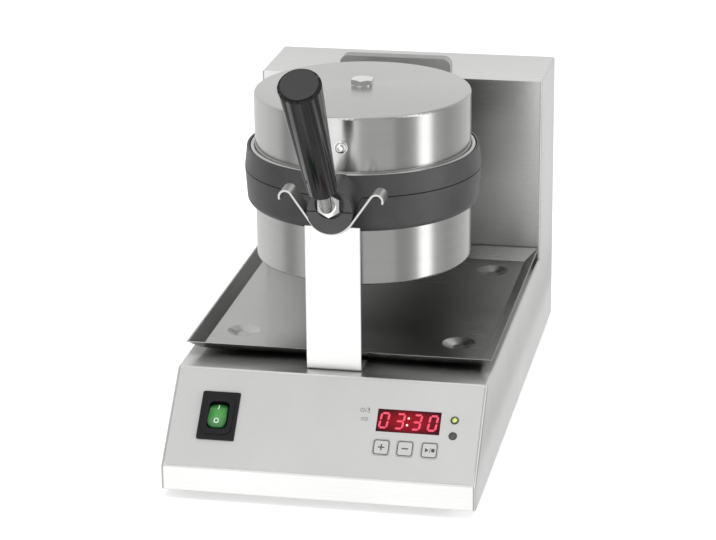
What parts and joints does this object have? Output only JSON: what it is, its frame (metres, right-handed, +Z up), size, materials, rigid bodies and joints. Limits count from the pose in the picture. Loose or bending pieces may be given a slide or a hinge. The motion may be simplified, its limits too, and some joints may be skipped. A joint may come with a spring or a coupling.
{
  "type": "rotating waffle maker",
  "caption": "Countertop waffle maker: a round two-plate baking head that turns over on a steel base, with a lid that opens, a drip tray and a sloping control panel.",
  "frame": {"origin": "middle of the bounding box's underside, on the table under the feet", "axes": "+X to the right seen from the front, +Y to the rear along the turning axis, +Z up"},
  "size_m": [0.25, 0.5228, 0.3594],
  "materials": {
    "housing_steel": "brushed stainless sheet",
    "cast_grey": "dark grey coated casting",
    "turned_steel": "turned and ground steel",
    "bright_fixings": "bright plated",
    "bronze": "plain bearing bronze",
    "heater_sheath": "dark annealed sheath",
    "mineral_wool": "pale fibre",
    "black_grip": "polished thermoset",
    "black_matte": "fine grained",
    "rubber_black": "matte",
    "panel_foil": "matte silver-grey foil",
    "dark_window": "tinted, glossy",
    "green_paddle": "translucent green",
    "green_lens": "clear lens",
    "board_green": "circuit board",
    "component_black": "moulded",
    "component_pale": "moulded"
  },
  "bodies": {
    "root": {"base_shell": "housing_steel", "bottom_plate": "housing_steel", "rear_panel": "housing_steel", "case_screws": "bright_fixings", "case_nuts": "bright_fixings", "control_overlay": "panel_foil", "display_window": "dark_window", "display_module": "component_black", "control_board": "board_green", "board_standoffs": "bright_fixings", "tact_switches": "component_black", "switch_bezel": "black_matte", "power_board": "board_green", "terminal_block": "component_pale", "safety_thermostat": "black_matte", "cord_gland": "black_matte", "gland_nut": "black_matte", "post": "housing_steel", "post_studs": "bright_fixings", "cradle": "housing_steel", "bearing_bracket": "housing_steel", "shaft_bushes": "bronze", "inner_bearing_plate": "turned_steel", "rotation_stops": "turned_steel", "power_components": "component_black", "foot_front_left": "rubber_black", "foot_front_right": "rubber_black", "foot_rear_left": "rubber_black", "foot_rear_right": "rubber_black", "led_heat": "green_lens", "led_ready": "green_lens"},
    "head": {"lower_casting": "cast_grey", "lower_plate": "cast_grey", "lower_cover": "housing_steel", "lower_heater": "heater_sheath", "lower_insulation": "mineral_wool", "lower_bolt": "bright_fixings", "lower_side_screw": "bright_fixings", "plate_sensor": "turned_steel", "head_shaft": "turned_steel", "shaft_collar": "turned_steel", "shaft_fixings": "bright_fixings", "hinge_pin": "turned_steel", "pin_clips": "turned_steel"},
    "lid": {"upper_casting": "cast_grey", "upper_plate": "cast_grey", "upper_cover": "housing_steel", "upper_heater": "heater_sheath", "upper_insulation": "mineral_wool", "upper_bolt": "bright_fixings", "upper_side_screw": "bright_fixings", "handle_rod": "turned_steel", "lock_nut": "bright_fixings", "handle_grip": "black_grip", "grip_cap": "black_matte"},
    "rocker": {"rocker_paddle": "green_paddle"},
    "key_minus_cap": {"key_minus": "panel_foil"},
    "key_plus_cap": {"key_plus": "panel_foil"},
    "key_start_cap": {"key_start": "panel_foil"},
    "tray": {"drip_tray": "housing_steel"}
  },
  "joints": [
    {"name": "head_turn", "type": "hinge", "parent": "root", "child": "head", "pos_m": [0, -0.01558, 0.22295], "axis": [0, 1, 0], "range_deg": [-180, 0]},
    {"name": "lid_open", "type": "hinge", "parent": "head", "child": "lid", "pos_m": [0, 0.08942, 0.26095], "axis": [-1, 0, 0], "range_deg": [0, 95]},
    {"name": "switch_rock", "type": "hinge", "parent": "root", "child": "rocker", "pos_m": [-0.085, -0.17941, 0.05694], "axis": [1, 0, 0], "range_deg": [0, 16]},
    {"name": "key_minus_press", "type": "slide", "parent": "root", "child": "key_minus_cap", "axis": [0, 0.7051, -0.7091], "range_m": [0, 0.0003], "stiffness_N_per_m": 1500},
    {"name": "key_plus_press", "type": "slide", "parent": "root", "child": "key_plus_cap", "axis": [0, 0.7051, -0.7091], "range_m": [0, 0.0003], "stiffness_N_per_m": 1500},
    {"name": "key_start_press", "type": "slide", "parent": "root", "child": "key_start_cap", "axis": [0, 0.7051, -0.7091], "range_m": [0, 0.0003], "stiffness_N_per_m": 1500},
    {"name": "tray_slide", "type": "slide", "parent": "root", "child": "tray", "axis": [1, 0, 0], "range_m": [0, 0.26]}
  ]
}
